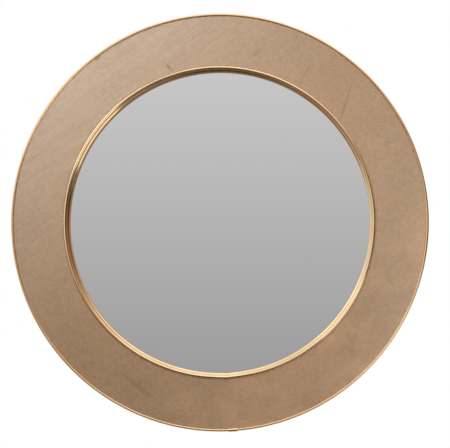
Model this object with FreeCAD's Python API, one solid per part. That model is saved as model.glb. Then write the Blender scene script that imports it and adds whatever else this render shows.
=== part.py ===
import FreeCAD, Part
import math
import os

# Round wall mirror: a hide-covered ring with two brass rims, flat glass, a back panel and two hanging rings.
# Millimetres. The wall is the plane y = 0, the glass looks towards -Y, +Z is up and +X is right from the front.
# "Depth" is the distance from the wall towards the viewer, so a depth of 10 lies at y = -10.
# A "clock" angle runs clockwise from 12 o'clock as seen from the front.

Vector = FreeCAD.Vector
FULL_TURN = 360.0
HALF_TURN = 180.0
QUARTER_TURN = 90.0

# A round is drawn as arcs of about this turn, so that a wide thin ring still meshes true to its round
ARC_TURN = 30.0

# Overall size and the hide band between the two rims
outer_diameter = 914.0
hide_band_width = 109.0
hide_thickness = 1.6

# Core ring
core_thickness = 28.0
core_rear_chamfer = 1.0

# Outer brass band with its half-round bead
edge_bead_radius = 3.0
band_sheet = 1.5
band_inset = 1.2
band_fit = 0.3
band_joint_angle_deg = 176.2
band_joint_gap = 0.6
sleeve_length = 21.0
sleeve_sheet = 1.0
solder_gap = 0.05

# Inner brass trim, one rolled section
trim_bead_radius = 3.6
trim_sheet = 1.2
trim_ledge_width = 1.4
trim_ledge_rise = 1.5
trim_ledge_tilt_deg = 9.0
trim_edge_radius = 4.0
trim_flange_width = 9.5
trim_fit = 0.8
trim_joint_angle_deg = 177.0
trim_joint_gap = 0.6
spigot_length = 36.0
spigot_fit = 0.15

# Glass and what holds it
glass_thickness = 4.0
glass_overlap = 11.5
glass_edge_gap = 1.5
glass_arris = 0.5
gasket_thickness = 1.0
gasket_setback = 1.0
foam_thickness = 2.0
foam_inset = 3.0
block_length = 40.0
block_fit = 0.1
block_angles_deg = (160.0, 200.0)

# Back panel and wall bumpers
panel_thickness = 9.0
panel_lap = 24.0
panel_chamfer = 1.0
bumper_radius = 11.0
bumper_chamfer = 1.5
bumper_count = 4

# Countersunk screws: head radius, shank radius, length under the head's top, count
screw_fit = 0.05
screw_tip_length = 2.5
recess_width = 0.7
recess_span_share = 1.1
recess_depth_share = 0.8
panel_screw_head_radius = 3.6
panel_screw_shank_radius = 1.75
panel_screw_length = 20.0
panel_screw_count = 12
trim_screw_head_radius = 2.2
trim_screw_shank_radius = 1.1
trim_screw_length = 8.0
trim_screw_edge = 4.0
trim_screw_count = 8
band_screw_head_radius = 2.6
band_screw_shank_radius = 1.3
band_screw_length = 14.0
band_screw_count = 12

# Hangers: a folded strap with a loop, two pan-head screws and a D-shaped wire ring
hanger_angle_deg = 40.0
hanger_rise_share = 0.3
strap_width = 14.0
strap_sheet = 1.5
strap_length = 48.0
strap_screw_first_share = 0.5
strap_screw_pitch_share = 0.3125
strap_screw_count = 2
pan_head_radius = 3.8
pan_head_height = 2.3
strap_screw_shank_radius = 1.9
strap_screw_length = 14.0
ring_wire_radius = 1.6
ring_running_clearance = 0.08
ring_end_clearance = 1.0
ring_corner_radius = 3.0
ring_leg = 5.0
ring_rest_gap = 0.5

# Worked-out radii, from the outside in
outer_radius = outer_diameter / 2
edge_bead_centre = outer_radius - edge_bead_radius
band_outer = outer_radius - band_inset
band_inner = band_outer - band_sheet
core_outer = band_inner - band_fit
trim_outer = outer_radius - 2 * edge_bead_radius - hide_band_width
trim_bead_centre = trim_outer - trim_bead_radius
trim_ledge_inner = trim_outer - 2 * trim_bead_radius - trim_ledge_width
trim_inner = trim_ledge_inner - trim_edge_radius
trim_flange_outer = trim_inner + trim_flange_width
core_bore = trim_inner + trim_sheet + trim_fit
glass_radius = trim_inner + glass_overlap
rebate_radius = glass_radius + glass_edge_gap
panel_radius = rebate_radius + panel_lap
rear_middle = (panel_radius + core_outer) / 2

# Worked-out depths, from the wall forwards
core_rear = panel_thickness
core_front = core_rear + core_thickness
hide_front = core_front + hide_thickness
glass_rear = core_rear + foam_thickness
glass_front = glass_rear + glass_thickness
flange_rear = glass_front + gasket_thickness
lip_rear = flange_rear + trim_sheet
ledge_front = hide_front + trim_ledge_rise

# Worked-out hanger places, measured from the loop's axis
loop_bore = ring_wire_radius + ring_running_clearance
loop_outer = loop_bore + strap_sheet
ring_half_width = strap_width / 2 + ring_end_clearance + ring_corner_radius
ring_drop = ring_leg + ring_half_width
ring_tilt = math.degrees(math.asin((strap_sheet + ring_rest_gap + ring_wire_radius - loop_outer) / ring_drop))
loop_y = loop_outer - core_rear


def at(radius, depth):
    """A point of a ring's section, drawn at 12 o'clock."""
    return Vector(0, -depth, radius)


def line(start, end):
    return Part.LineSegment(start, end).toShape()


def arc(start, middle, end):
    return Part.Arc(start, middle, end).toShape()


def outline(points):
    """Straight edges through the points and back to the first."""
    return [line(a, b) for a, b in zip(points, points[1:] + points[:1])]


def on_circle(radius, depth, size, degrees):
    """A point of a section's circle. Zero degrees points outwards and a quarter turn points forwards."""
    turn = math.radians(degrees)
    return at(radius + size * math.cos(turn), depth + size * math.sin(turn))


def rounded(centre, depth, size, start, end):
    """A section's round from one turn to another, drawn as arcs end to end."""
    count = math.ceil(abs(end - start) / ARC_TURN)
    turns = [start + (end - start) * i / count for i in range(count + 1)]
    arcs = []
    for first, last in zip(turns, turns[1:]):
        arcs.append(arc(*[on_circle(centre, depth, size, turn) for turn in (first, (first + last) / 2, last)]))
    return arcs


def half_round(centre, depth, radius):
    """The round side of a bead that lies on the hide, from its outer to its inner foot."""
    return rounded(centre, depth, radius, 0.0, HALF_TURN)


def spun(edges, degrees=FULL_TURN):
    """The ring that a closed section makes, spun clockwise from 12 o'clock."""
    face = Part.Face(Part.Wire(Part.__sortEdges__(edges)))
    return face.revolve(Vector(0, 0, 0), Vector(0, 1, 0), degrees)


def ring(inner, outer, rear, front):
    """A flat ring between two radii and two depths."""
    return spun(outline([at(inner, rear), at(outer, rear), at(outer, front), at(inner, front)]))


def disc(radius, rear, front, rear_chamfer=0.0, front_chamfer=0.0):
    """A flat disc with chamfered edges, spun from a section that reaches the axis."""
    points = [at(0, rear), at(radius - rear_chamfer, rear)]
    if rear_chamfer:
        points.append(at(radius, rear + rear_chamfer))
    if front_chamfer:
        points.append(at(radius, front - front_chamfer))
    points += [at(radius - front_chamfer, front), at(0, front)]
    return spun(outline(points))


def turned(shape, clock):
    """A copy of a shape drawn at 12 o'clock, moved round to a clock angle."""
    copy = shape.copy()
    copy.rotate(Vector(0, 0, 0), Vector(0, 1, 0), clock)
    return copy


def evenly(shape, count, first_clock):
    """Copies of a shape drawn at 12 o'clock, spread evenly round the ring."""
    return [turned(shape, first_clock + i * FULL_TURN / count) for i in range(count)]


def open_ring(edges, gap, radius, clock):
    """A ring that stops short of a full turn and leaves its butt joint open at a clock angle."""
    gap_turn = math.degrees(gap / radius)
    return turned(spun(edges, FULL_TURN - gap_turn), clock + gap_turn / 2)


def countersunk_screw(head_radius, shank_radius, length, grow=0.0):
    """A wood screw along +Z with its flat head at z = 0 pointing down. Grown, it is the screw's own seat."""
    head_height = head_radius - shank_radius
    tip_start = length - screw_tip_length
    head = Part.makeCone(head_radius + grow, shank_radius + grow, head_height)
    shank = Part.makeCylinder(shank_radius + grow, tip_start, Vector(0, 0, 0))
    tip = Part.makeCone(shank_radius + grow, grow, screw_tip_length, Vector(0, 0, tip_start))
    return head.fuse([shank, tip]).removeSplitter()


def cross_recess(span, depth):
    """The cross that a screwdriver goes into, open at z = 0."""
    bars = []
    for turn in (0.0, QUARTER_TURN):
        bar = Part.makeBox(span, recess_width, depth, Vector(-span / 2, -recess_width / 2, 0))
        bar.rotate(Vector(0, 0, 0), Vector(0, 0, 1), turn)
        bars.append(bar)
    return bars[0].fuse(bars[1])


def driven_screw(head_radius, shank_radius, length):
    """A countersunk screw with its cross recess."""
    head_height = head_radius - shank_radius
    screw = countersunk_screw(head_radius, shank_radius, length)
    return screw.cut(cross_recess(head_radius * recess_span_share, head_height * recess_depth_share))


def facing_front(shape, radius, depth):
    """A screw drawn along +Z, laid so that it runs forwards from a point at 12 o'clock."""
    laid = shape.copy()
    laid.rotate(Vector(0, 0, 0), Vector(1, 0, 0), QUARTER_TURN)
    laid.translate(at(radius, depth))
    return laid


def facing_centre(shape, radius, depth):
    """A screw drawn along +Z, laid so that it runs inwards to the ring's centre at 12 o'clock."""
    laid = shape.copy()
    laid.rotate(Vector(0, 0, 0), Vector(1, 0, 0), HALF_TURN)
    laid.translate(at(radius, depth))
    return laid


def panel_screws(shape):
    radius = rebate_radius + panel_lap / 2
    return evenly(facing_front(shape, radius, 0), panel_screw_count, HALF_TURN / panel_screw_count)


def trim_screws(shape):
    radius = trim_flange_outer - trim_screw_edge
    first = trim_joint_angle_deg + HALF_TURN / trim_screw_count
    return evenly(facing_front(shape, radius, flange_rear), trim_screw_count, first)


def band_screws(shape):
    depth = core_rear + core_thickness / 2
    first = band_joint_angle_deg + HALF_TURN / band_screw_count
    return evenly(facing_centre(shape, band_outer, depth), band_screw_count, first)


def hanger_place(side):
    """The middle of a hanger's loop. Side is -1 for left and 1 for right, as seen from the front."""
    turn = math.radians(hanger_angle_deg)
    rise = hanger_rise_share * strap_length
    return Vector(side * rear_middle * math.sin(turn), loop_y, rear_middle * math.cos(turn) + rise)


def strap_screw_drops():
    shares = [strap_screw_first_share + i * strap_screw_pitch_share for i in range(strap_screw_count)]
    return [share * strap_length for share in shares]


def pan_head_screw(grow=0.0):
    """A pan-head screw along +Z, its head below z = 0 with a rounded edge."""
    tip_start = strap_screw_length - screw_tip_length
    radius = strap_screw_shank_radius + grow
    shank = Part.makeCylinder(radius, tip_start)
    tip = Part.makeCone(radius, grow, screw_tip_length, Vector(0, 0, tip_start))
    if grow:
        return shank.fuse(tip).removeSplitter()
    head = Part.makeCylinder(pan_head_radius, pan_head_height, Vector(0, 0, -pan_head_height))
    rim = [e for e in head.Edges if e.CenterOfMass.z < -pan_head_height / 2 and len(e.Vertexes) == 1]
    head = head.makeFillet(pan_head_height / 2, rim)
    recess = cross_recess(pan_head_radius * recess_span_share, pan_head_height * recess_depth_share)
    recess.translate(Vector(0, 0, -pan_head_height))
    return head.fuse([shank, tip]).removeSplitter().cut(recess)


def strap_screws(shape, lift):
    """Copies of a strap screw on both hangers, the underside of each head lifted off the core by a thickness."""
    laid = shape.copy()
    laid.rotate(Vector(0, 0, 0), Vector(1, 0, 0), QUARTER_TURN)
    copies = []
    for side in (-1, 1):
        for drop in strap_screw_drops():
            copy = laid.copy()
            copy.translate(hanger_place(side) + Vector(0, lift - loop_outer, -drop))
            copies.append(copy)
    return copies


def make_core_ring():
    """Fibreboard ring with a rebate for the glass, a chamfered rear edge and the screws' holes."""
    section = outline([
        at(core_bore, lip_rear),
        at(rebate_radius, lip_rear),
        at(rebate_radius, core_rear),
        at(core_outer - core_rear_chamfer, core_rear),
        at(core_outer, core_rear + core_rear_chamfer),
        at(core_outer, core_front),
        at(core_bore, core_front),
    ])
    panel_seat = countersunk_screw(
        panel_screw_head_radius, panel_screw_shank_radius, panel_screw_length, screw_fit)
    trim_seat = countersunk_screw(trim_screw_head_radius, trim_screw_shank_radius, trim_screw_length, screw_fit)
    band_seat = countersunk_screw(band_screw_head_radius, band_screw_shank_radius, band_screw_length, screw_fit)
    holes = panel_screws(panel_seat) + trim_screws(trim_seat) + band_screws(band_seat)
    holes += strap_screws(pan_head_screw(screw_fit), strap_sheet)
    return spun(section).cut(holes)


def make_hide_cover():
    """Flat hide, glued on the core's front with its two cut edges under the brass beads."""
    return ring(trim_bead_centre, core_outer, core_front, hide_front)


def make_outer_edge_band():
    """Half-round bead with a flat band behind it that wraps the core's edge, open at its butt joint."""
    bead = half_round(edge_bead_centre, hide_front, edge_bead_radius)
    inside = at(edge_bead_centre - edge_bead_radius, hide_front)
    outside = at(outer_radius, hide_front)
    corners = [inside, at(band_inner, hide_front), at(band_inner, core_rear), at(band_outer, core_rear),
               at(band_outer, hide_front), outside]
    section = bead + [line(start, end) for start, end in zip(corners, corners[1:])]
    seat = countersunk_screw(band_screw_head_radius, band_screw_shank_radius, band_screw_length, screw_fit)
    band = open_ring(section, band_joint_gap, outer_radius, band_joint_angle_deg)
    return band.cut(band_screws(seat))


def make_edge_joint_sleeve():
    """Thin half-round saddle, soldered over the band's butt joint."""
    inside = edge_bead_radius + solder_gap
    outside = inside + sleeve_sheet
    section = half_round(edge_bead_centre, hide_front, inside)
    section += half_round(edge_bead_centre, hide_front, outside)
    for turn in (0, HALF_TURN):
        section.append(line(
            on_circle(edge_bead_centre, hide_front, inside, turn),
            on_circle(edge_bead_centre, hide_front, outside, turn)))
    sweep = math.degrees(sleeve_length / outer_radius)
    return turned(spun(section, sweep), band_joint_angle_deg - sweep / 2)


def make_inner_trim_ring():
    """One rolled section: hollow bead, sloping ledge, rounded inner edge, wall and a flange behind the core's lip."""
    hollow = trim_bead_radius - trim_sheet
    tilt = math.radians(trim_ledge_tilt_deg)
    bead_end = HALF_TURN - math.degrees(math.asin(trim_ledge_rise / trim_bead_radius))
    bead_foot = trim_bead_centre + trim_bead_radius * math.cos(math.radians(bead_end))
    under_ledge = trim_bead_radius * math.sin(math.radians(bead_end) - tilt) - trim_sheet
    hollow_end = HALF_TURN + trim_ledge_tilt_deg - math.degrees(math.asin(under_ledge / hollow))
    edge_start = QUARTER_TURN + trim_ledge_tilt_deg
    ledge_drop = (bead_foot - trim_ledge_inner) * math.tan(tilt)
    edge_depth = ledge_front - ledge_drop - trim_edge_radius / math.cos(tilt)

    def bead(size, turn):
        return on_circle(trim_bead_centre, hide_front, size, turn)

    def edge(size, turn):
        return on_circle(trim_ledge_inner, edge_depth, size, turn)

    inner_edge = trim_edge_radius - trim_sheet
    wall_back = trim_inner + trim_sheet
    edges = [
        line(bead(trim_bead_radius, bead_end), edge(trim_edge_radius, edge_start)),
        line(edge(trim_edge_radius, HALF_TURN), at(trim_inner, flange_rear)),
        line(at(trim_inner, flange_rear), at(trim_flange_outer, flange_rear)),
        line(at(trim_flange_outer, flange_rear), at(trim_flange_outer, lip_rear)),
        line(at(trim_flange_outer, lip_rear), at(wall_back, lip_rear)),
        line(at(wall_back, lip_rear), edge(inner_edge, HALF_TURN)),
        line(edge(inner_edge, edge_start), bead(hollow, hollow_end)),
        line(bead(hollow, 0), bead(trim_bead_radius, 0)),
    ]
    edges += rounded(trim_bead_centre, hide_front, trim_bead_radius, 0.0, bead_end)
    edges += rounded(trim_bead_centre, hide_front, hollow, 0.0, hollow_end)
    for size in (trim_edge_radius, inner_edge):
        edges += rounded(trim_ledge_inner, edge_depth, size, edge_start, HALF_TURN)
    seat = countersunk_screw(trim_screw_head_radius, trim_screw_shank_radius, trim_screw_length, screw_fit)
    return open_ring(edges, trim_joint_gap, trim_outer, trim_joint_angle_deg).cut(trim_screws(seat))


def make_trim_joint_spigot():
    """Half-round key inside the hollow bead, across the inner trim's butt joint, resting on the hide."""
    size = trim_bead_radius - trim_sheet - spigot_fit
    feet = [at(trim_bead_centre - size, hide_front), at(trim_bead_centre + size, hide_front)]
    sweep = math.degrees(spigot_length / trim_bead_centre)
    key = spun(half_round(trim_bead_centre, hide_front, size) + [line(*feet)], sweep)
    return turned(key, trim_joint_angle_deg - sweep / 2)


def make_glass():
    """Flat mirror glass with its front and rear arrises ground off."""
    return disc(glass_radius, glass_rear, glass_front, glass_arris, glass_arris)


def make_gasket():
    """Felt ring between the trim's flange and the glass, set back out of sight."""
    return ring(trim_inner + gasket_setback, trim_flange_outer, glass_front, flange_rear)


def make_setting_blocks():
    """Two thin rubber blocks that carry the glass's edge in the rebate."""
    inner = glass_radius + block_fit
    outer = rebate_radius - block_fit
    section = outline([
        at(inner, glass_rear), at(outer, glass_rear), at(outer, glass_front), at(inner, glass_front)])
    sweep = math.degrees(block_length / glass_radius)
    block = spun(section, sweep)
    return [turned(block, clock - sweep / 2) for clock in block_angles_deg]


def make_back_panel():
    """Fibreboard disc against the wall, with countersunk holes for its screws."""
    seat = countersunk_screw(panel_screw_head_radius, panel_screw_shank_radius, panel_screw_length, screw_fit)
    return disc(panel_radius, 0, panel_thickness, panel_chamfer).cut(panel_screws(seat))


def make_wall_bumpers():
    """Rubber pads on the core's rear, as thick as the panel, so they meet the wall with it."""
    pad = Part.makeCone(bumper_radius - bumper_chamfer, bumper_radius, bumper_chamfer)
    stem = Part.makeCylinder(bumper_radius, panel_thickness - bumper_chamfer, Vector(0, 0, bumper_chamfer))
    return evenly(facing_front(pad.fuse(stem).removeSplitter(), rear_middle, 0), bumper_count, 0)


def make_strap(side):
    """Flat strap with a rounded foot, two screw holes and a rolled loop at its top."""
    half = strap_width / 2
    foot = strap_length - half
    plate = Part.makeBox(strap_width, strap_sheet, foot, Vector(-half, -loop_outer, -foot))
    toe = Part.makeCylinder(half, strap_sheet, Vector(0, -loop_outer, -foot), Vector(0, 1, 0))
    loop = Part.makeCylinder(loop_outer, strap_width, Vector(-half, 0, 0), Vector(1, 0, 0))
    bore = Part.makeCylinder(loop_bore, strap_width, Vector(-half, 0, 0), Vector(1, 0, 0))
    holes = [bore]
    for drop in strap_screw_drops():
        holes.append(Part.makeCylinder(
            strap_screw_shank_radius + screw_fit, strap_sheet, Vector(0, -loop_outer, -drop), Vector(0, 1, 0)))
    strap = plate.fuse([toe, loop]).removeSplitter().cut(holes)
    strap.translate(hanger_place(side))
    return strap


def make_d_ring(side):
    """Wire bent into a D: a straight bar in the loop, two small corners, two legs and a half circle below."""
    half = ring_half_width
    corner = ring_corner_radius
    shoulder = half - corner
    bow = corner * math.cos(math.radians(QUARTER_TURN / 2))
    path = []
    for hand in (-1, 1):
        top = Vector(hand * shoulder, 0, 0)
        middle = Vector(hand * (shoulder + bow), 0, bow - corner)
        bottom = Vector(hand * half, 0, -corner)
        path.append(arc(top, middle, bottom))
        path.append(line(bottom, Vector(hand * half, 0, -ring_leg)))
    path.append(line(Vector(-shoulder, 0, 0), Vector(shoulder, 0, 0)))
    path.append(arc(Vector(-half, 0, -ring_leg), Vector(0, 0, -ring_drop), Vector(half, 0, -ring_leg)))
    spine = Part.Wire(Part.__sortEdges__(path))
    start = spine.OrderedVertexes[0].Point
    first = spine.OrderedEdges[0]
    along = first.tangentAt(first.FirstParameter)
    wire = Part.Wire(Part.makeCircle(ring_wire_radius, start, along))
    d_ring = spine.makePipeShell([wire], True, False)
    d_ring.rotate(Vector(0, 0, 0), Vector(1, 0, 0), ring_tilt)
    d_ring.translate(hanger_place(side))
    return d_ring


def save(node, shape):
    """Writes one node. A list of solids becomes one group."""
    solid = Part.makeCompound(shape) if isinstance(shape, list) else shape
    solid.exportStep(os.path.join("parts", node + ".step"))


def main():
    os.makedirs("parts", exist_ok=True)
    save("core_ring", make_core_ring())
    save("hide_cover", make_hide_cover())
    save("outer_edge_band", make_outer_edge_band())
    save("edge_joint_sleeve", make_edge_joint_sleeve())
    save("inner_trim_ring", make_inner_trim_ring())
    save("trim_joint_spigot", make_trim_joint_spigot())
    save("mirror_glass", make_glass())
    save("glass_gasket", make_gasket())
    save("glass_setting_blocks", make_setting_blocks())
    save("backing_foam", disc(glass_radius - foam_inset, core_rear, glass_rear))
    save("back_panel", make_back_panel())
    save("wall_bumpers", make_wall_bumpers())
    save("back_panel_screws", panel_screws(
        driven_screw(panel_screw_head_radius, panel_screw_shank_radius, panel_screw_length)))
    save("inner_trim_screws", trim_screws(
        driven_screw(trim_screw_head_radius, trim_screw_shank_radius, trim_screw_length)))
    save("edge_band_screws", band_screws(
        driven_screw(band_screw_head_radius, band_screw_shank_radius, band_screw_length)))
    save("hanger_screws", strap_screws(pan_head_screw(), strap_sheet))
    for name, side in (("left", -1), ("right", 1)):
        save("hanger_strap_" + name, make_strap(side))
        save("d_ring_" + name, make_d_ring(side))


main()
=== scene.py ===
import math

import bpy
from bpy.props import FloatProperty, FloatVectorProperty, IntProperty, PointerProperty
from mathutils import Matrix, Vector


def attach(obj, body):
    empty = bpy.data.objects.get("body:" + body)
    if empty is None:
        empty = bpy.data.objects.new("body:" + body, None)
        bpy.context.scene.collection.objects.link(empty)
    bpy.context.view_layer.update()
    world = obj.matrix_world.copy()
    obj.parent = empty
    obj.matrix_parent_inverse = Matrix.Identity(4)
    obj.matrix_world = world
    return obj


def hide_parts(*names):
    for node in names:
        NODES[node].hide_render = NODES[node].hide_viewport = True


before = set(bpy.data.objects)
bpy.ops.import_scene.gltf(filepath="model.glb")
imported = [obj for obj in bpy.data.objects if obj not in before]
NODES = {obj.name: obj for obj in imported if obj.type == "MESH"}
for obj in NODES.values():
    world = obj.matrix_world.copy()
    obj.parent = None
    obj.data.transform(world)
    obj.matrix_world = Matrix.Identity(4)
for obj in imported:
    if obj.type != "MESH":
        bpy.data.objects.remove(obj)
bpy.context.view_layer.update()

bl_info = {
    "name": "Round Hide Mirror",
    "version": (1, 0, 0),
    "blender": (4, 5, 0),
    "location": "View3D > Sidebar > Mirror",
    "description": "Dresses a round wall mirror with its hide cover, brass rims, glass and back",
    "category": "Object",
}

# Metres. The wall is the plane y = 0, the glass looks towards -Y, +Z is up.
# A ring's section is drawn at 12 o'clock: a radius runs along +Z and a depth from the wall along -Y.
MM = 0.001
UPPER_LEFT = Vector((-0.8, 0, 0.6))
HALF_TURN = 180
SMOOTH_ANGLE = math.radians(30)

# Steps of the rings, of a half-round bead and of smaller rounds, and cuts across the hide
RING_STEPS = 480
HIDE_STEPS = 720
BEAD_STEPS = 20
EDGE_STEPS = 12
HIDE_CUTS = 63
CONE_SIDES = 32

# Points closer than this are merged, and points closer than this to a face lie on it
MERGED = 0.002 * MM
TOUCHING = 0.01 * MM


def linear(code):
    """The linear colour of an sRGB hex code."""
    shares = [int(code[i:i + 2], 16) / 255 for i in (1, 3, 5)]
    return [s / 12.92 if s <= 0.04045 else ((s + 0.055) / 1.055) ** 2.4 for s in shares]


def colour(name, description, code):
    return FloatVectorProperty(name=name, description=description, default=linear(code), subtype="COLOR",
                               size=3, min=0, max=1)


def length(name, description, millimetres):
    return FloatProperty(name=name, description=description, default=millimetres * MM, min=0, subtype="DISTANCE",
                         unit="LENGTH", precision=5)


class HideSettings(bpy.types.PropertyGroup):
    """Sizes and tones of the hide on the ring's front"""
    inner_radius: length("Inner radius", "Cut edge under the inner trim", 338.4)
    outer_radius: length("Outer radius", "Cut edge under the outer bead", 454.0)
    rear: length("Glued face", "Depth of the core's front, which the hide is glued to", 37.0)
    front: length("Nap face", "Depth of the napped face", 38.6)
    waviness: length("Waviness", "How deep the hide's soft hollows are", 0.1)
    # The upper and lower tones carry painted light: the upper tan is greyer where the light falls at the upper left
    pale: colour("Upper tone", "Greyer tan of the hide's upper part", "#AD9782")
    deep: colour("Lower tone", "Browner tan of the hide's lower part", "#AD8C6D")
    scar: colour("Scar", "A healed scar, smoother and browner than the nap", "#8D6A4C")


class RimSettings(bpy.types.PropertyGroup):
    """Sizes and tones of the brass rims"""
    outer_radius: length("Outer radius", "Widest place of the outer bead", 457.0)
    edge_bead: length("Edge bead", "Radius of the outer half-round bead", 3.0)
    trim_bead: length("Trim bead", "Radius of the inner trim's half-round bead", 3.6)
    band_outer: length("Band, outside", "Outside of the strip round the core", 455.8)
    band_inner: length("Band, inside", "Inside of the strip round the core", 454.3)
    band_rear: length("Band, rear edge", "Depth of the strip's rear edge", 9.0)
    band_joint: FloatProperty(name="Band joint", description="Clock angle of the band's butt joint",
                              default=math.radians(176.2), subtype="ANGLE", unit="ROTATION")
    sleeve_length: length("Sleeve length", "Sleeve over the band's joint", 21.0)
    sleeve_sheet: length("Sleeve sheet", "Thickness of the sleeve", 1.0)
    solder_gap: length("Solder gap", "Between the bead and the sleeve", 0.05)
    worn_edge: length("Worn edge", "Width of the sleeve's worn edges", 0.15)
    trim_radius: length("Trim radius", "Outer foot of the inner trim's bead", 342.0)
    trim_sheet: length("Trim sheet", "Thickness of the inner trim", 1.2)
    ledge_rise: length("Ledge rise", "How far the trim's ledge stands above the hide, beside the bead", 1.5)
    ledge_tilt: FloatProperty(name="Ledge tilt", description="How far the ledge slopes down towards the glass",
                              default=math.radians(9), subtype="ANGLE", unit="ROTATION")
    ledge_inner: length("Ledge, inside", "Where the ledge turns into its rounded edge", 333.4)
    edge_radius: length("Edge radius", "Radius of the trim's rounded inner edge", 4.0)
    flange_rear: length("Flange, rear", "Depth of the trim's flange behind the core's lip", 16.0)
    flange_width: length("Flange width", "Width of that flange", 9.5)
    trim_joint: FloatProperty(name="Trim joint", description="Clock angle of the trim's butt joint",
                              default=math.radians(177.0), subtype="ANGLE", unit="ROTATION")
    straight_end: length("Straight ends", "How far from its joint the trim is straighter than round", 40.0)
    corner: length("Corner", "How far the trim's ends stand out at its joint", 1.0)
    off_centre: length("Off centre", "How far to the upper left the trim was set", 0.6)
    joint_gap: length("Joint gap", "Open gap at both butt joints", 0.6)
    screw_head: length("Screw seat", "Radius of the band screws' countersunk seats", 2.65)
    seat_overcut: length("Seat overcut", "How far a seat's cutter stands out of the band on both sides", 0.2)
    screw_count: IntProperty(name="Band screws", description="Screws round the band", default=12, min=1)
    brass: colour("Brass", "Polished brass", "#F3DAB1")
    brass_toned: colour("Toned brass", "Where the lacquer has let the brass darken a little", "#E2B789")
    brass_shallow: colour("Shallow tint", "Tint of the brass at a shallow angle", "#F2BC80")


class StageSettings(bpy.types.PropertyGroup):
    """Camera, light and floor"""
    distance: length("Camera distance", "From the ring's front to the camera", 7500.0)
    azimuth: FloatProperty(name="Camera azimuth", description="How far right of the mirror's axis the camera stands",
                           default=math.radians(2.9), subtype="ANGLE", unit="ROTATION")
    elevation: FloatProperty(name="Camera elevation", description="How far above the mirror's axis the camera stands",
                             default=math.radians(-1.9), subtype="ANGLE", unit="ROTATION")
    floor_drop: length("Floor drop", "How far the floor is below the mirror's middle", 1500.0)
    floor_size: length("Floor size", "Width of the square floor", 12000.0)
    floor_front: length("Floor front", "How far the floor reaches in front of the wall plane", 100.0)
    floor: colour("Floor", "Plain pale floor", "#DADAD8")


def settings():
    return bpy.context.scene.hide_mirror


class MirrorSettings(bpy.types.PropertyGroup):
    """All settings of the mirror"""
    hide: PointerProperty(type=HideSettings)
    rims: PointerProperty(type=RimSettings)
    stage: PointerProperty(type=StageSettings)


# Drawing and turning sections

def at(radius, depth):
    return Vector((0, -depth, radius))


def clear_selection():
    if bpy.context.mode != "OBJECT":
        bpy.ops.object.mode_set(mode="OBJECT")
    bpy.ops.object.select_all(action="DESELECT")


def start_section(name, radius, depth):
    """A new mesh of one point, in edit mode, from which a section is drawn."""
    clear_selection()
    bpy.ops.mesh.primitive_plane_add(size=MM, location=at(radius, depth))
    piece = bpy.context.object
    piece.name = piece.data.name = name
    bpy.ops.object.transform_apply(location=True, rotation=True, scale=True)
    bpy.ops.object.mode_set(mode="EDIT")
    bpy.ops.mesh.select_all(action="SELECT")
    bpy.ops.mesh.merge(type="CENTER")
    return piece


def draw_line(outwards, forwards):
    """Draws the section on from its last point."""
    bpy.ops.mesh.extrude_vertices_move(TRANSFORM_OT_translate={"value": (0, -forwards, outwards)})


def draw_arc(radius, depth, degrees, steps):
    """Draws the section on round a centre. A positive turn goes from outwards to forwards."""
    bpy.ops.mesh.spin(steps=steps, angle=math.radians(-degrees), center=at(radius, depth), axis=(1, 0, 0))


def close_section():
    bpy.ops.mesh.select_all(action="SELECT")
    bpy.ops.mesh.remove_doubles(threshold=MERGED)


def turn_section(angle, steps):
    """Spins the whole section clockwise round the mirror's axis."""
    bpy.ops.mesh.select_all(action="SELECT")
    bpy.ops.mesh.spin(steps=steps, angle=-angle, center=(0, 0, 0), axis=(0, 1, 0))
    bpy.ops.mesh.select_all(action="SELECT")
    bpy.ops.mesh.remove_doubles(threshold=MERGED)
    bpy.ops.mesh.normals_make_consistent(inside=False)


def turn_piece(piece, angle):
    """Turns a piece clockwise round the mirror's axis and puts the turn into its mesh."""
    piece.rotation_euler.y = angle
    bpy.ops.object.transform_apply(location=False, rotation=True, scale=False)


def apply_modifier(piece, name, kind, **values):
    modifier = piece.modifiers.new(name, kind)
    for key, value in values.items():
        setattr(modifier, key, value)
    bpy.ops.object.modifier_apply(modifier=name)


def finish_piece(piece, material, slot, *nodes):
    """Gives a new piece its finish and lets it stand for its solids on the frame's body."""
    if bpy.context.mode != "OBJECT":
        bpy.ops.object.mode_set(mode="OBJECT")
    piece.data.materials.clear()
    piece.data.materials.append(material)
    bpy.ops.object.shade_smooth_by_angle(angle=SMOOTH_ANGLE)
    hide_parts(*nodes)
    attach(piece, "frame")


# Materials

def add(tree, kind, links=(), **values):
    """Adds a node, sets its own values and its sockets' values, and links sockets from other nodes."""
    node = tree.nodes.new(kind)
    for key, value in values.items():
        setattr(node, key, value)
    for socket, source in dict(links).items():
        if isinstance(source, bpy.types.NodeSocket):
            tree.links.new(source, node.inputs[socket])
        else:
            node.inputs[socket].default_value = source
    return node


def new_material(name):
    material = bpy.data.materials.new(name)
    material.use_nodes = True
    material.node_tree.nodes.clear()
    return material, material.node_tree


def surface(tree, **sockets):
    """The shader of a material, with its sockets linked or set, and the output."""
    shader = add(tree, "ShaderNodeBsdfPrincipled", {key.replace("_", " "): value for key, value in sockets.items()})
    add(tree, "ShaderNodeOutputMaterial", {"Surface": shader.outputs["BSDF"]})


def rgba(values):
    return (*values, 1.0)


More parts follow.
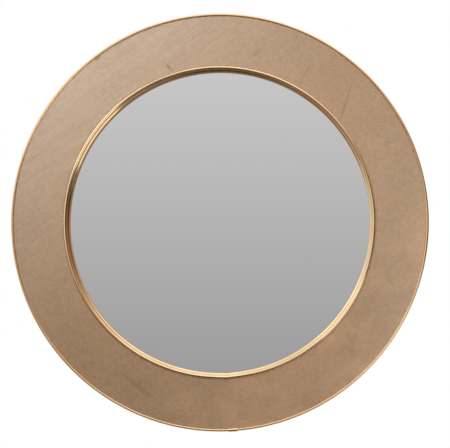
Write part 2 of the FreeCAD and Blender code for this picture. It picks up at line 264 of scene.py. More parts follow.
def napped_hide():
    """Nubuck hide, buffed to a short nap: a matt, velvety face with brush marks and soft cloudy tones. Its tan carries
    painted light, paler and greyer at the upper left, and painted shade by the trim at the lower right.
    """
    tones = settings().hide
    material, tree = new_material("buffed_nubuck_hide")
    place = add(tree, "ShaderNodeTexCoord").outputs["Object"]

    # Painted light: the tan is greyer and paler at the upper left, where the light falls, and browner elsewhere; it is
    # a little greyer again at the right
    slope = add(tree, "ShaderNodeVectorMath", {0: place, 1: (-0.62, 0, 0.78)}, operation="DOT_PRODUCT")
    rise = add(tree, "ShaderNodeMapRange", {"Value": slope.outputs["Value"], "From Min": 0.0, "From Max": 0.43})
    right = add(tree, "ShaderNodeVectorMath", {0: place, 1: (1, 0, 0.1)}, operation="DOT_PRODUCT")
    greyer_right = add(tree, "ShaderNodeMapRange", {"Value": right.outputs["Value"], "From Min": 0.2, "From Max": 0.38,
                                             "To Max": 0.33})
    grey = add(tree, "ShaderNodeMath", {0: rise.outputs["Result"], 1: greyer_right.outputs["Result"]}, operation="MAXIMUM")
    painted_light_tan = add(tree, "ShaderNodeMix", {"Factor": grey.outputs[0], "A": rgba(tones.deep), "B": rgba(tones.pale)},
               data_type="RGBA")
    # Grain of the nap, drawn 1.9 mm wide so that it shows, and mottling 12 mm and 75 mm wide
    grain = add(tree, "ShaderNodeTexNoise", {"Vector": place, "Scale": 1 / (1.9 * MM), "Detail": 1.0})
    mottling = add(tree, "ShaderNodeTexNoise", {"Vector": place, "Scale": 1 / (12 * MM), "Detail": 1.0})
    clouds = add(tree, "ShaderNodeTexNoise", {"Vector": place, "Scale": 1 / (75 * MM), "Detail": 2.0})
    # Brush marks, 2 mm wide and 100 mm long, at the upper left, where the nap was brushed last
    laid = add(tree, "ShaderNodeMapping", {"Vector": place, "Rotation": (0, math.radians(34), 0)})
    drawn = add(tree, "ShaderNodeMapping", {"Vector": laid.outputs["Vector"],
                                           "Scale": (1 / (100 * MM), 1 / (100 * MM), 1 / (2 * MM))})
    marks = add(tree, "ShaderNodeTexNoise", {"Vector": drawn.outputs["Vector"], "Scale": 1.0, "Detail": 2.0,
                                             "Roughness": 0.6})
    corner = add(tree, "ShaderNodeVectorMath", {0: place, 1: (-0.3, 0, 0.3)}, operation="DISTANCE")
    brushed = add(tree, "ShaderNodeMapRange", {"Value": corner.outputs["Value"], "From Min": 0.25, "From Max": 0.5,
                                               "To Min": 0.4, "To Max": 0.1})
    nap = add(tree, "ShaderNodeMapRange", {"Value": corner.outputs["Value"], "From Min": 0.25, "From Max": 0.5,
                                           "To Min": 0.48, "To Max": 0.7})
    brushing = add(tree, "ShaderNodeMath", {0: marks.outputs["Fac"], 1: 0.5}, operation="SUBTRACT")
    # Veins, 2 mm wide, that wander over the hide
    wander = add(tree, "ShaderNodeTexNoise", {"Vector": place, "Scale": 1 / (170 * MM), "Detail": 1.0})
    level = add(tree, "ShaderNodeMath", {0: wander.outputs["Fac"], 1: 0.5}, operation="SUBTRACT")
    beside = add(tree, "ShaderNodeMath", {0: level.outputs[0]}, operation="ABSOLUTE")
    veins = add(tree, "ShaderNodeMapRange", {"Value": beside.outputs[0], "From Max": 0.008, "To Min": -0.03,
                                             "To Max": 0.0})
    # At the lower right the hide is paler along the rim and darker by the trim; the darkening by the trim is painted
    # shade
    side = add(tree, "ShaderNodeVectorMath", {0: place, 1: (0.87, 0, -0.5)}, operation="DOT_PRODUCT")
    trim_shade_side = add(tree, "ShaderNodeMapRange", {"Value": side.outputs["Value"], "From Min": 0.28, "From Max": 0.42})
    out = add(tree, "ShaderNodeVectorMath", {0: place}, operation="LENGTH")
    rim_pale_trim_shade = add(tree, "ShaderNodeMapRange", {"Value": out.outputs["Value"], "From Min": 0.37, "From Max": 0.445,
                                              "To Min": -0.08, "To Max": 0.06})
    # Darker towards the lower left
    lower_left_spot = add(tree, "ShaderNodeVectorMath", {0: place, 1: (-0.22, 0, -0.34)}, operation="DISTANCE")
    dark = add(tree, "ShaderNodeMapRange", {"Value": lower_left_spot.outputs["Value"], "From Min": 0.1, "From Max": 0.3,
                                            "To Min": -0.08, "To Max": 0.0})

    tone = add(tree, "ShaderNodeMath", {0: veins.outputs["Result"], 1: dark.outputs["Result"]}, operation="ADD")
    tone = add(tree, "ShaderNodeMath", {0: trim_shade_side.outputs["Result"], 1: rim_pale_trim_shade.outputs["Result"],
                                        2: tone.outputs[0]}, operation="MULTIPLY_ADD")
    tone = add(tree, "ShaderNodeMath", {0: brushing.outputs[0], 1: brushed.outputs["Result"],
                                        2: tone.outputs[0]}, operation="MULTIPLY_ADD")
    # The clouds are strongest at the lower right
    lower = add(tree, "ShaderNodeVectorMath", {0: place, 1: (0.6, 0, -0.8)}, operation="DOT_PRODUCT")
    uneven = add(tree, "ShaderNodeMapRange", {"Value": lower.outputs["Value"], "From Min": 0.2, "From Max": 0.42,
                                              "To Min": 0.15, "To Max": 0.75})
    for pattern, strength in ((grain, nap.outputs["Result"]), (mottling, 0.18), (clouds, uneven.outputs["Result"])):
        part = add(tree, "ShaderNodeMath", {0: pattern.outputs["Fac"], 1: 0.5}, operation="SUBTRACT")
        tone = add(tree, "ShaderNodeMath", {0: part.outputs[0], 1: strength, 2: tone.outputs[0]},
                   operation="MULTIPLY_ADD")
    tone = add(tree, "ShaderNodeMath", {0: tone.outputs[0], 1: 1.0}, operation="ADD")
    toned = add(tree, "ShaderNodeHueSaturation", {"Color": painted_light_tan.outputs["Result"], "Value": tone.outputs[0]})
    shade = toned.outputs["Color"]
    # A healed scar with its tail by the trim and a nick by the rim, bare and brown, and four faint creases:
    # place, turn, half sizes in mm and how bare the hide is there
    for x, z, turn, size, share in ((-0.1115, 0.3405, 38, (9, 20, 6), 0.75), (-0.1045, 0.3335, 39, (10, 20, 2.5), 0.55),
                                    (-0.267, 0.3605, -48, (11, 20, 6), 0.75), (0.276, 0.259, -72, (62, 20, 5), 0.36),
                                    (-0.177, -0.359, 38, (62, 20, 8), 0.4), (0.083, 0.371, -42, (24, 20, 8), 0.28),
                                    (0.187, 0.323, -60, (42, 20, 4), 0.18)):
        local = add(tree, "ShaderNodeMapping", {"Vector": place, "Location": (x, -tones.front, z),
                                               "Rotation": (0, math.radians(turn), 0),
                                               "Scale": [half * MM for half in size]}, vector_type="TEXTURE")
        core = add(tree, "ShaderNodeTexGradient", {"Vector": local.outputs["Vector"]}, gradient_type="SPHERICAL")
        torn = add(tree, "ShaderNodeMath", {0: grain.outputs["Fac"], 1: 0.8, 2: core.outputs["Fac"]},
                   operation="MULTIPLY_ADD")
        bare = add(tree, "ShaderNodeMapRange", {"Value": torn.outputs[0], "From Min": 0.62, "From Max": 0.95,
                                                "To Max": share})
        shade = add(tree, "ShaderNodeMix", {"Factor": bare.outputs["Result"], "A": shade, "B": rgba(tones.scar)},
                    data_type="RGBA").outputs["Result"]
    relief = add(tree, "ShaderNodeMath", {0: brushing.outputs[0], 1: grain.outputs["Fac"]}, operation="ADD")
    bump = add(tree, "ShaderNodeBump", {"Height": relief.outputs[0], "Strength": 0.4, "Distance": 0.1 * MM})
    surface(tree, Base_Color=shade, Roughness=0.92, Sheen_Weight=0.1, Sheen_Roughness=0.5,
            Specular_IOR_Level=0.15, Normal=bump.outputs["Normal"])
    return material


def lacquered_brass(name, toned, smooth, hazy):
    """Rolled brass, polished or satined and lacquered: warm reflections with a slight haze along the rolling.

    At a shallow angle brass reflects less than a plain metal and stays warm.
    """
    tones = settings().rims
    material, tree = new_material(name)
    place = add(tree, "ShaderNodeTexCoord").outputs["Object"]
    # Toned patches about 90 mm long
    patches = add(tree, "ShaderNodeTexNoise", {"Vector": place, "Scale": 1 / (90 * MM), "Detail": 2.0})
    share = add(tree, "ShaderNodeMapRange", {"Value": patches.outputs["Fac"], "From Min": 0.35, "From Max": 0.7,
                                             "To Min": toned - 0.2, "To Max": toned + 0.2})
    tone = add(tree, "ShaderNodeMix", {"Factor": share.outputs["Result"], "A": rgba(tones.brass),
                                       "B": rgba(tones.brass_toned)}, data_type="RGBA")
    # Polishing haze, 6 mm wide
    haze = add(tree, "ShaderNodeTexNoise", {"Vector": place, "Scale": 1 / (6 * MM), "Detail": 3.0})
    rough = add(tree, "ShaderNodeMapRange", {"Value": haze.outputs["Fac"], "To Min": smooth, "To Max": hazy})
    surface(tree, Base_Color=tone.outputs["Result"], Metallic=1.0, Roughness=rough.outputs["Result"],
            Specular_Tint=rgba(tones.brass_shallow))
    return material


def silvered_glass():
    """Float glass, silvered behind: a clear image, a shade darker than life, with a trace of wiping marks."""
    material, tree = new_material("silvered_float_glass")
    place = add(tree, "ShaderNodeTexCoord").outputs["Object"]
    # Wiping marks, 120 mm wide
    wiping = add(tree, "ShaderNodeTexNoise", {"Vector": place, "Scale": 1 / (120 * MM), "Detail": 4.0})
    rough = add(tree, "ShaderNodeMapRange", {"Value": wiping.outputs["Fac"], "From Min": 0.4, "From Max": 0.8,
                                             "To Min": 0.0, "To Max": 0.02})
    surface(tree, Base_Color=rgba(linear("#F6F6F6")), Metallic=1.0, Roughness=rough.outputs["Result"])
    return material


def fibreboard(name, dark, pale, rough):
    """Fibreboard: pressed wood fibre, a fine short-fibred speckle under its finish."""
    material, tree = new_material(name)
    place = add(tree, "ShaderNodeTexCoord").outputs["Object"]
    # Fibre speckle, 1.2 mm, and soft clouds of density, 40 mm
    speckle = add(tree, "ShaderNodeTexNoise", {"Vector": place, "Scale": 1 / (1.2 * MM), "Detail": 4.0})
    clouds = add(tree, "ShaderNodeTexNoise", {"Vector": place, "Scale": 1 / (40 * MM), "Detail": 2.0})
    both = add(tree, "ShaderNodeMath", {0: speckle.outputs["Fac"], 1: clouds.outputs["Fac"]}, operation="ADD")
    share = add(tree, "ShaderNodeMapRange", {"Value": both.outputs[0], "From Min": 0.7, "From Max": 1.3})
    tone = add(tree, "ShaderNodeMix", {"Factor": share.outputs["Result"], "A": rgba(linear(dark)),
                                       "B": rgba(linear(pale))}, data_type="RGBA")
    bump = add(tree, "ShaderNodeBump", {"Height": speckle.outputs["Fac"], "Strength": 0.4, "Distance": 0.08 * MM})
    surface(tree, Base_Color=tone.outputs["Result"], Roughness=rough, Normal=bump.outputs["Normal"])
    return material


def plated_metal(name, dark, pale, grain):
    """Small turned or pressed metal pieces: a thin bright coat with a fine grain and dull spots."""
    material, tree = new_material(name)
    place = add(tree, "ShaderNodeTexCoord").outputs["Object"]
    spots = add(tree, "ShaderNodeTexNoise", {"Vector": place, "Scale": 1 / (grain * MM), "Detail": 3.0})
    tone = add(tree, "ShaderNodeMix", {"Factor": spots.outputs["Fac"], "A": rgba(linear(dark)),
                                       "B": rgba(linear(pale))}, data_type="RGBA")
    rough = add(tree, "ShaderNodeMapRange", {"Value": spots.outputs["Fac"], "To Min": 0.45, "To Max": 0.2})
    surface(tree, Base_Color=tone.outputs["Result"], Metallic=1.0, Roughness=rough.outputs["Result"])
    return material


def soft_filler(name, dark, pale, grain, rough):
    """Rubber, felt and foam: matt, with the grain of its mould, fibres or cells."""
    material, tree = new_material(name)
    place = add(tree, "ShaderNodeTexCoord").outputs["Object"]
    cells = add(tree, "ShaderNodeTexNoise", {"Vector": place, "Scale": 1 / (grain * MM), "Detail": 3.0})
    tone = add(tree, "ShaderNodeMix", {"Factor": cells.outputs["Fac"], "A": rgba(linear(dark)),
                                       "B": rgba(linear(pale))}, data_type="RGBA")
    bump = add(tree, "ShaderNodeBump", {"Height": cells.outputs["Fac"], "Strength": 0.5, "Distance": 0.1 * MM})
    surface(tree, Base_Color=tone.outputs["Result"], Roughness=rough, Normal=bump.outputs["Normal"])
    return material


def coat_nodes(material, *names):
    """Gives solids that keep their own shape their finish."""
    for name in names:
        NODES[name].data.materials.clear()
        NODES[name].data.materials.append(material)


class MIRROR_OT_hide(bpy.types.Operator):
    """Lay the hide on the ring's front"""
    bl_idname = "mirror.hide"
    bl_label = "Hide cover"

    def execute(self, context):
        sizes = settings().hide
        width = sizes.outer_radius - sizes.inner_radius
        thickness = sizes.front - sizes.rear
        piece = start_section("hide", sizes.outer_radius, sizes.rear)
        draw_line(0, thickness)
        draw_line(-width, 0)
        bpy.ops.mesh.select_mode(type="EDGE")
        bpy.ops.mesh.select_all(action="DESELECT")
        bpy.ops.object.mode_set(mode="OBJECT")
        for edge in piece.data.edges:
            ends = [piece.data.vertices[i].co for i in edge.vertices]
            edge.select = abs(ends[0].z - ends[1].z) > width / 2
        bpy.ops.object.mode_set(mode="EDIT")
        bpy.ops.mesh.subdivide(number_cuts=HIDE_CUTS)
        bpy.ops.mesh.select_mode(type="VERT")
        bpy.ops.mesh.select_all(action="DESELECT")
        bpy.ops.object.mode_set(mode="OBJECT")
        for vertex in piece.data.vertices:
            vertex.select = vertex.co.z < sizes.inner_radius + TOUCHING
        bpy.ops.object.mode_set(mode="EDIT")
        draw_line(0, -thickness)
        draw_line(width, 0)
        close_section()
        turn_section(math.tau, HIDE_STEPS)
        bpy.ops.mesh.select_all(action="DESELECT")
        bpy.ops.object.mode_set(mode="OBJECT")
        for vertex in piece.data.vertices:
            vertex.select = vertex.co.y < -sizes.front + TOUCHING
        bpy.ops.object.mode_set(mode="EDIT")
        bpy.ops.object.vertex_group_assign_new()
        bpy.ops.object.mode_set(mode="OBJECT")
        for name, size, depth in (("hollows", 55 * MM, sizes.waviness), ("puckers", 14 * MM, sizes.waviness / 5)):
            texture = bpy.data.textures.new(name, "CLOUDS")
            texture.noise_scale = size
            apply_modifier(piece, name, "DISPLACE", texture=texture, texture_coords="LOCAL", direction="Y",
                           mid_level=0.0, strength=depth, vertex_group=piece.vertex_groups[0].name)
        finish_piece(piece, napped_hide(), "hide", "hide_cover")
        return {"FINISHED"}


class MIRROR_OT_rims(bpy.types.Operator):
    """Roll the outer band, its joint sleeve and the inner trim"""
    bl_idname = "mirror.rims"
    bl_label = "Brass rims"

    def execute(self, context):
        sizes = settings().rims
        front = settings().hide.front
        polished = lacquered_brass("polished_lacquered_brass", 0.25, 0.05, 0.11)
        self.outer_band(sizes, front, lacquered_brass("satined_lacquered_brass", 0.6, 0.24, 0.34))
        self.sleeve(sizes, front, polished)
        self.inner_trim(sizes, front, polished)
        return {"FINISHED"}

    def outer_band(self, sizes, front, brass):
        bead = sizes.edge_bead
        centre = sizes.outer_radius - bead
        height = front - sizes.band_rear
        piece = start_section("outer_band", sizes.outer_radius, front)
        draw_arc(centre, front, HALF_TURN, BEAD_STEPS)
        draw_line(sizes.band_inner - centre + bead, 0)
        draw_line(0, -height)
        draw_line(sizes.band_outer - sizes.band_inner, 0)
        draw_line(0, height)
        draw_line(sizes.outer_radius - sizes.band_outer, 0)
        close_section()
        gap = sizes.joint_gap / sizes.outer_radius
        turn_section(math.tau - gap, RING_STEPS)
        bpy.ops.mesh.fill_holes(sides=0)
        bpy.ops.mesh.normals_make_consistent(inside=False)
        bpy.ops.object.mode_set(mode="OBJECT")
        turn_piece(piece, sizes.band_joint + gap / 2)
        self.sink_seats(piece, sizes)
        finish_piece(piece, brass, "brass", "outer_edge_band")

    def sink_seats(self, piece, sizes):
        """Cuts the countersunk seats of the band's screws."""
        sheet = sizes.band_outer - sizes.band_inner
        proud = sizes.seat_overcut
        head = sizes.screw_head
        depth = (sizes.band_rear + settings().hide.rear) / 2
        clear_selection()
        bpy.ops.mesh.primitive_cone_add(
            vertices=CONE_SIDES, radius1=head - sheet - proud, radius2=head + proud, depth=sheet + 2 * proud,
            location=at(sizes.band_outer - sheet / 2, depth))
        cutter = bpy.context.object
        bpy.ops.object.transform_apply(location=True, rotation=True, scale=True)
        step = math.tau / sizes.screw_count
        turn_piece(cutter, sizes.band_joint + step / 2)
        copies = [cutter]
        for i in range(1, sizes.screw_count):
            copy = cutter.copy()
            copy.data = cutter.data.copy()
            bpy.context.scene.collection.objects.link(copy)
            copies.append(copy)
            clear_selection()
            copy.select_set(True)
            bpy.context.view_layer.objects.active = copy
            turn_piece(copy, i * step)
        clear_selection()
        for copy in copies:
            copy.select_set(True)
        bpy.context.view_layer.objects.active = cutter
        bpy.ops.object.join()
        clear_selection()
        piece.select_set(True)
        bpy.context.view_layer.objects.active = piece
        apply_modifier(piece, "seats", "BOOLEAN", object=cutter, operation="DIFFERENCE", solver="EXACT")
        bpy.data.objects.remove(cutter)

    def sleeve(self, sizes, front, brass):
        inside = sizes.edge_bead + sizes.solder_gap
        outside = inside + sizes.sleeve_sheet
        centre = sizes.outer_radius - sizes.edge_bead
        sweep = sizes.sleeve_length / sizes.outer_radius
        piece = start_section("joint_sleeve", centre + outside, front)
        draw_arc(centre, front, HALF_TURN, BEAD_STEPS)
        draw_line(sizes.sleeve_sheet, 0)
        draw_arc(centre, front, -HALF_TURN, BEAD_STEPS)
        draw_line(sizes.sleeve_sheet, 0)
        close_section()
        turn_section(sweep, EDGE_STEPS)
        bpy.ops.mesh.fill_holes(sides=0)
        bpy.ops.mesh.normals_make_consistent(inside=False)
        bpy.ops.object.mode_set(mode="OBJECT")
        turn_piece(piece, sizes.band_joint - sweep / 2)
        apply_modifier(piece, "worn_edges", "BEVEL", width=sizes.worn_edge, segments=3, limit_method="ANGLE")
        finish_piece(piece, brass, "brass", "edge_joint_sleeve")

    def inner_trim(self, sizes, front, brass):
        bead = sizes.trim_bead
        centre = sizes.trim_radius - bead
        ledge = front + sizes.ledge_rise
        bead_turn = HALF_TURN - math.degrees(math.asin(sizes.ledge_rise / bead))
        bead_foot = centre + bead * math.cos(math.radians(bead_turn))
        tilt = sizes.ledge_tilt
        ledge_width = bead_foot - sizes.ledge_inner + sizes.edge_radius * math.sin(tilt)
        ledge_drop = ledge_width * math.tan(tilt)
        edge_depth = ledge - ledge_drop - sizes.edge_radius * math.cos(tilt)
        piece = start_section("inner_trim", sizes.trim_radius, front)
        draw_arc(centre, front, bead_turn, BEAD_STEPS)
        draw_line(-ledge_width, -ledge_drop)
        draw_arc(sizes.ledge_inner, edge_depth, HALF_TURN / 2 - math.degrees(tilt), EDGE_STEPS)
        draw_line(0, sizes.flange_rear - edge_depth)
        draw_line(sizes.flange_width, 0)
        gap = sizes.joint_gap / sizes.trim_radius
        turn_section(math.tau - gap, RING_STEPS)
        bpy.ops.object.mode_set(mode="OBJECT")
        crest = min(piece.data.polygons, key=lambda face: face.center.y)
        if crest.normal.y > 0:
            bpy.ops.object.mode_set(mode="EDIT")
            bpy.ops.mesh.flip_normals()
            bpy.ops.object.mode_set(mode="OBJECT")
        turn_piece(piece, sizes.trim_joint + gap / 2)
        self.straighten_ends(piece, sizes)
        piece.location = UPPER_LEFT * sizes.off_centre
        bpy.ops.object.transform_apply(location=True, rotation=False, scale=False)
        apply_modifier(piece, "sheet", "SOLIDIFY", thickness=sizes.trim_sheet, offset=-1.0, use_even_offset=True)
        finish_piece(piece, brass, "brass", "inner_trim_ring")

    def straighten_ends(self, piece, sizes):
        """The roller left the trim's two ends nearly straight, so they meet in a slight corner."""
        out = Vector((math.sin(sizes.trim_joint), 0, math.cos(sizes.trim_joint)))
        along = Vector((out.z, 0, -out.x))
        bpy.ops.object.mode_set(mode="EDIT")
        bpy.ops.mesh.select_all(action="DESELECT")
        bpy.ops.object.mode_set(mode="OBJECT")
        for vertex in piece.data.vertices:
            vertex.select = vertex.co.dot(out) > 0 and abs(vertex.co.dot(along)) < sizes.joint_gap
        bpy.ops.object.mode_set(mode="EDIT")
        bpy.ops.transform.translate(value=out * sizes.corner, use_proportional_edit=True,
                                    proportional_edit_falloff="SHARP", proportional_size=sizes.straight_end)
        bpy.ops.object.mode_set(mode="OBJECT")


class MIRROR_OT_glass(bpy.types.Operator):
    """Silver the glass"""
    bl_idname = "mirror.glass"
    bl_label = "Glass"

    def execute(self, context):
        coat_nodes(silvered_glass(), "mirror_glass")
        coat_nodes(soft_filler("pressed_felt", "#1C1917", "#332E2A", 0.8, 1.0), "glass_gasket")
        coat_nodes(soft_filler("closed_cell_foam", "#C9C9C4", "#E4E4E0", 0.6, 0.9), "backing_foam")
        return {"FINISHED"}


class MIRROR_OT_back(bpy.types.Operator):
    """Finish the core, the back panel, the hangers and the fixings"""
    bl_idname = "mirror.back"
    bl_label = "Back and hangers"

    def execute(self, context):
        coat_nodes(fibreboard("stained_fibreboard", "#2A211B", "#43362C", 0.7), "core_ring")
        coat_nodes(fibreboard("sanded_fibreboard", "#8B6B4B", "#A98762", 0.85), "back_panel")
        coat_nodes(soft_filler("moulded_rubber", "#131313", "#222221", 0.9, 0.75), "wall_bumpers",
                   "glass_setting_blocks")
        coat_nodes(plated_metal("zinc_plated_steel", "#A6A8A6", "#CDD0D1", 2.5), "hanger_strap_left",
                   "hanger_strap_right", "hanger_screws", "d_ring_left", "d_ring_right", "back_panel_screws")
        coat_nodes(plated_metal("turned_brass", "#C39D5C", "#E3C583", 1.5), "edge_band_screws", "inner_trim_screws",
                   "trim_joint_spigot")
        return {"FINISHED"}


class MIRROR_OT_stage(bpy.types.Operator):
    """Set up the floor, the light and the camera"""
    bl_idname = "mirror.stage"
    bl_label = "Stage"

    def execute(self, context):
        values = settings().stage
        self.floor(values)
        self.world(context.scene)
        self.lamps()
        self.camera(context.scene, values)
        context.scene.view_settings.view_transform = "Standard"
        return {"FINISHED"}

    def floor(self, values):
        clear_selection()
        middle = (0, values.floor_size / 2 - values.floor_front, -values.floor_drop)
        bpy.ops.mesh.primitive_plane_add(size=values.floor_size, location=middle)
        floor = bpy.context.object
        floor.name = "floor"
        bpy.ops.object.transform_apply(location=True, rotation=True, scale=True)
        material, tree = new_material("matt_painted_floor")
        path = add(tree, "ShaderNodeLightPath")
        shown = add(tree, "ShaderNodeMath", {0: path.outputs["Is Glossy Ray"], 1: path.outputs["Is Transmission Ray"]},
                    operation="MAXIMUM")
        shown = add(tree, "ShaderNodeMath", {0: shown.outputs[0], 1: 0.75}, operation="MULTIPLY")
        pale = add(tree, "ShaderNodeMath", {0: path.outputs["Is Camera Ray"], 1: 1.15, 2: shown.outputs[0]},
                   operation="MULTIPLY_ADD")
        surface(tree, Base_Color=rgba(values.floor), Roughness=0.9, Emission_Color=rgba(values.floor),
                Emission_Strength=pale.outputs[0])
        floor.data.materials.append(material)

    def world(self, scene):
        """White behind the mirror. In front of it, the studio is pale above and to the left, and dark elsewhere."""
        world = bpy.data.worlds.new("studio")
        world.use_nodes = True
        tree = world.node_tree
        tree.nodes.clear()
        view = add(tree, "ShaderNodeTexCoord").outputs["Generated"]
        towards = add(tree, "ShaderNodeSeparateXYZ", {0: view})
        below = add(tree, "ShaderNodeMapRange", {"Value": towards.outputs["Z"], "From Min": -0.45, "From Max": -0.02,
                                                 "To Min": 0.03, "To Max": 0.334})
        above = add(tree, "ShaderNodeMapRange", {"Value": towards.outputs["Z"], "From Min": -0.02, "From Max": 0.17,
                                                 "To Max": 0.559})
        high = add(tree, "ShaderNodeMapRange", {"Value": towards.outputs["Z"], "From Min": 0.4, "From Max": 0.8,
                                                "To Max": 0.55})
        height = add(tree, "ShaderNodeMath", {0: below.outputs["Result"], 1: above.outputs["Result"]}, operation="ADD")
        height = add(tree, "ShaderNodeMath", {0: height.outputs[0], 1: high.outputs["Result"]}, operation="ADD")
        left = add(tree, "ShaderNodeMapRange", {"Value": towards.outputs["X"], "From Min": -0.16, "From Max": -0.5})
        raised = add(tree, "ShaderNodeMapRange", {"Value": towards.outputs["Z"], "From Min": -0.35, "From Max": 0.05,
                                                  "To Min": 0.25, "To Max": 1.0})
        left = add(tree, "ShaderNodeMath", {0: left.outputs["Result"], 1: raised.outputs["Result"]},
                   operation="MULTIPLY")
        lit = add(tree, "ShaderNodeMix", {"Factor": left.outputs[0], "A": height.outputs[0], "B": 0.9})
        right = add(tree, "ShaderNodeMapRange", {"Value": towards.outputs["X"], "From Min": 0.08, "From Max": 0.32})
        low = add(tree, "ShaderNodeMapRange", {"Value": towards.outputs["Z"], "From Min": 0.62, "From Max": 0.3})
        right = add(tree, "ShaderNodeMath", {0: right.outputs["Result"], 1: low.outputs["Result"]},
                    operation="MULTIPLY")
        flag = add(tree, "ShaderNodeMath", {0: right.outputs[0], 1: -0.75, 2: 1.0}, operation="MULTIPLY_ADD")
        flagged = add(tree, "ShaderNodeMath", {0: lit.outputs["Result"], 1: flag.outputs[0]}, operation="MULTIPLY")
        # A strip of light runs from near the axis to the lower right
        along = add(tree, "ShaderNodeVectorMath", {0: view, 1: (0.82, 0, -0.57)}, operation="DOT_PRODUCT")
        across = add(tree, "ShaderNodeVectorMath", {0: view, 1: (0.57, 0, 0.82)}, operation="DOT_PRODUCT")
        aside = add(tree, "ShaderNodeMath", {0: across.outputs["Value"]}, operation="ABSOLUTE")
        aside = add(tree, "ShaderNodeMath", {0: along.outputs["Value"], 1: -0.25, 2: aside.outputs[0]},
                    operation="MULTIPLY_ADD")
        within = add(tree, "ShaderNodeMapRange", {"Value": aside.outputs[0], "From Min": 0.04, "From Max": -0.02})
        near = add(tree, "ShaderNodeMapRange", {"Value": along.outputs["Value"], "From Min": 0.02, "From Max": 0.2,
                                                "To Max": 0.28})
        far = add(tree, "ShaderNodeMapRange", {"Value": along.outputs["Value"], "From Min": 0.5, "From Max": 0.8,
                                               "To Max": 0.72})
        strip = add(tree, "ShaderNodeMath", {0: near.outputs["Result"], 1: far.outputs["Result"]}, operation="ADD")
        strip = add(tree, "ShaderNodeMath", {0: strip.outputs[0], 1: within.outputs["Result"]}, operation="MULTIPLY")
        flagged = add(tree, "ShaderNodeMix", {"Factor": strip.outputs[0], "A": flagged.outputs[0], "B": 1.05})
        behind = add(tree, "ShaderNodeMapRange", {"Value": towards.outputs["Y"], "From Min": 0.6, "From Max": 0.9})
        studio = add(tree, "ShaderNodeMix", {"Factor": behind.outputs["Result"], "A": flagged.outputs["Result"],
                                             "B": 1.0})
        path = add(tree, "ShaderNodeLightPath")
        level = add(tree, "ShaderNodeMix", {"Factor": path.outputs["Is Diffuse Ray"], "A": studio.outputs["Result"],
                                            "B": 0.07})
        shown = add(tree, "ShaderNodeMix", {"Factor": path.outputs["Is Camera Ray"], "A": level.outputs["Result"],
                                            "B": 1.0})
        # Warm brown flags stand to the right and below. Only metal and glass show them
        under = add(tree, "ShaderNodeMapRange", {"Value": towards.outputs["Z"], "From Min": -0.1, "From Max": -0.4})
        flags = add(tree, "ShaderNodeMath", {0: right.outputs[0], 1: under.outputs["Result"]}, operation="MAXIMUM")
        flags = add(tree, "ShaderNodeMath", {0: flags.outputs[0], 1: strip.outputs[0]}, operation="SUBTRACT",
                    use_clamp=True)
        warm = add(tree, "ShaderNodeMath", {0: flags.outputs[0], 1: path.outputs["Is Glossy Ray"]},
                   operation="MULTIPLY")
        warm = add(tree, "ShaderNodeMix", {"Factor": warm.outputs[0], "A": (1, 1, 1, 1), "B": rgba(linear("#FFCFA0"))},
                   data_type="RGBA")
        light = add(tree, "ShaderNodeBackground", {"Color": warm.outputs["Result"],
                                                   "Strength": shown.outputs["Result"]})
        add(tree, "ShaderNodeOutputWorld", {"Surface": light.outputs["Background"]})
        scene.world = world

    def lamp(self, name, place, size, power, mirrored):
        clear_selection()
        bpy.ops.object.light_add(type="AREA", location=place)
        lamp = bpy.context.object
        lamp.name = name
        lamp.data.shape = "SQUARE"
        lamp.data.size = size
        lamp.data.energy = power
        lamp.rotation_euler = (-Vector(place)).to_track_quat("-Z", "Y").to_euler()
        lamp.visible_glossy = mirrored
        lamp.visible_camera = False

    def lamps(self):
        """Two panels on a diagonal show in the brass, two soft lamps light the hide and two more the back."""
        self.lamp("upper_left_panel", (-0.95, -0.75, 0.78), 0.9, 2.4, True)
        self.lamp("lower_right_panel", (0.75, -1.6, -0.75), 1.2, 3.3, True)
        self.lamp("key_lamp", (-0.48, -0.7, 0.63), 0.6, 6.7, False)
        self.lamp("fill_lamp", (0.75, -1.2, -0.12), 0.6, 10.5, False)
        self.lamp("left_back_lamp", (-1.0, 1.4, 0.9), 1.0, 14.0, False)
        self.lamp("right_back_lamp", (1.1, 1.5, 0.2), 1.0, 9.0, False)

    def camera(self, scene, values):
        """Puts the ring's front where it is in a frame of 450 by 448 pixels."""
        frame_width, frame_height = 450, 448
        ring_x, ring_y, ring_radius = 219.36, 222.2, 209.15
        ring = Vector((0, -settings().hide.front, 0))
        back = Vector((math.sin(values.azimuth) * math.cos(values.elevation),
                       -math.cos(values.azimuth) * math.cos(values.elevation), math.sin(values.elevation)))
        pixel = settings().rims.outer_radius / ring_radius
        bpy.ops.object.camera_add()
        camera = bpy.context.object
        turn = (-back).to_track_quat("-Z", "Y")
        right, up = turn @ Vector((1, 0, 0)), turn @ Vector((0, 1, 0))
        camera.location = ring + back * values.distance
        aim = ring + (right * (frame_width / 2 - ring_x) - up * (frame_height / 2 - ring_y)) * pixel
        camera.rotation_euler = (aim - camera.location).to_track_quat("-Z", "Y").to_euler()
        camera.data.sensor_width = 36.0
        camera.data.lens = values.distance / pixel / frame_width * camera.data.sensor_width
        camera.data.clip_end = 50
        scene.camera = camera


class VIEW3D_PT_mirror(bpy.types.Panel):
    """Lists the mirror's pieces and their settings"""
    bl_label = "Mirror"
    bl_idname = "VIEW3D_PT_mirror"
    bl_space_type = "VIEW_3D"
    bl_region_type = "UI"
    bl_category = "Mirror"

    def draw(self, context):
        values = context.scene.hide_mirror
        for operator, group in ((MIRROR_OT_hide, values.hide), (MIRROR_OT_rims, values.rims), (MIRROR_OT_glass, None),
                                (MIRROR_OT_back, None), (MIRROR_OT_stage, values.stage)):
            box = self.layout.box()
            box.operator(operator.bl_idname)
            for key in type(group).__annotations__ if group else ():
                box.prop(group, key)


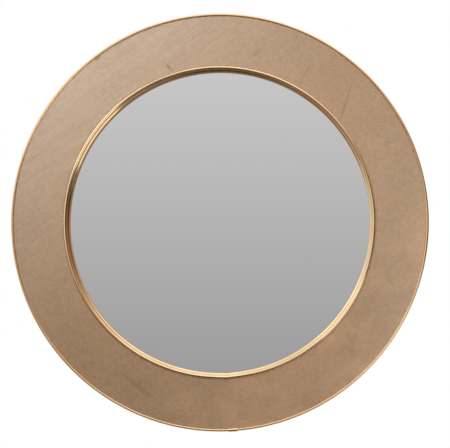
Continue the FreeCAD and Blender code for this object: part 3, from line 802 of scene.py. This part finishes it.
CLASSES = (HideSettings, RimSettings, StageSettings, MirrorSettings, MIRROR_OT_hide, MIRROR_OT_rims, MIRROR_OT_glass,
           MIRROR_OT_back, MIRROR_OT_stage, VIEW3D_PT_mirror)


def register():
    for item in CLASSES:
        bpy.utils.register_class(item)
    bpy.types.Scene.hide_mirror = PointerProperty(type=MirrorSettings)


def unregister():
    del bpy.types.Scene.hide_mirror
    for item in reversed(CLASSES):
        bpy.utils.unregister_class(item)


def main():
    register()
    bpy.ops.mirror.hide()
    bpy.ops.mirror.rims()
    bpy.ops.mirror.glass()
    bpy.ops.mirror.back()
    bpy.ops.mirror.stage()


if __name__ == "__main__":
    main()
